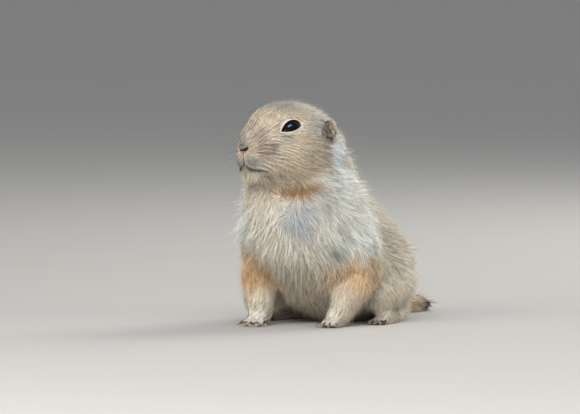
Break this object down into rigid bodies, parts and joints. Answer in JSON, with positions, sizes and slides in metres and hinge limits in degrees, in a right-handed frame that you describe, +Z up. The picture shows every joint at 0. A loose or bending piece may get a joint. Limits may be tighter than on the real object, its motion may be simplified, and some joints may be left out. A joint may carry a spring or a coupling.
{
  "type": "prairie dog",
  "caption": "Life-size still model of a young prairie dog sitting up on its forepaws with the head turned to its right.",
  "frame": {"origin": "middle of the footprint's bounding box, at floor level", "axes": "+Z up, -Y the way the body faces, +X to the animal's left"},
  "size_m": [0.0806, 0.1714, 0.116],
  "materials": {
    "head": "buff fur",
    "neck": "cream fur",
    "chest": "cream fur",
    "belly": "cream fur",
    "rump": "buff fur",
    "tail": "rusty fur, black at the tip",
    "ear_left": "thin buff fur over skin",
    "ear_right": "thin buff fur over skin",
    "upper_arm_left": "buff fur",
    "upper_arm_right": "buff fur",
    "forearm_left": "rusty fur",
    "forearm_right": "rusty fur",
    "forepaw_left": "short cream fur, dark claws",
    "forepaw_right": "short cream fur, dark claws",
    "thigh_left": "buff fur",
    "thigh_right": "buff fur",
    "hind_foot_left": "short cream fur, dark claws",
    "hind_foot_right": "short cream fur, dark claws",
    "eye_left": "wet and glossy",
    "eye_right": "wet and glossy",
    "nose": "moist bare skin"
  },
  "bodies": {
    "root": {"head": "head", "neck": "neck", "chest": "chest", "belly": "belly", "rump": "rump", "tail": "tail", "ear_left": "ear_left", "ear_right": "ear_right", "upper_arm_left": "upper_arm_left", "upper_arm_right": "upper_arm_right", "forearm_left": "forearm_left", "forearm_right": "forearm_right", "forepaw_left": "forepaw_left", "forepaw_right": "forepaw_right", "thigh_left": "thigh_left", "thigh_right": "thigh_right", "hind_foot_left": "hind_foot_left", "hind_foot_right": "hind_foot_right", "eye_left": "eye_left", "eye_right": "eye_right", "nose": "nose"}
  },
  "joints": []
}
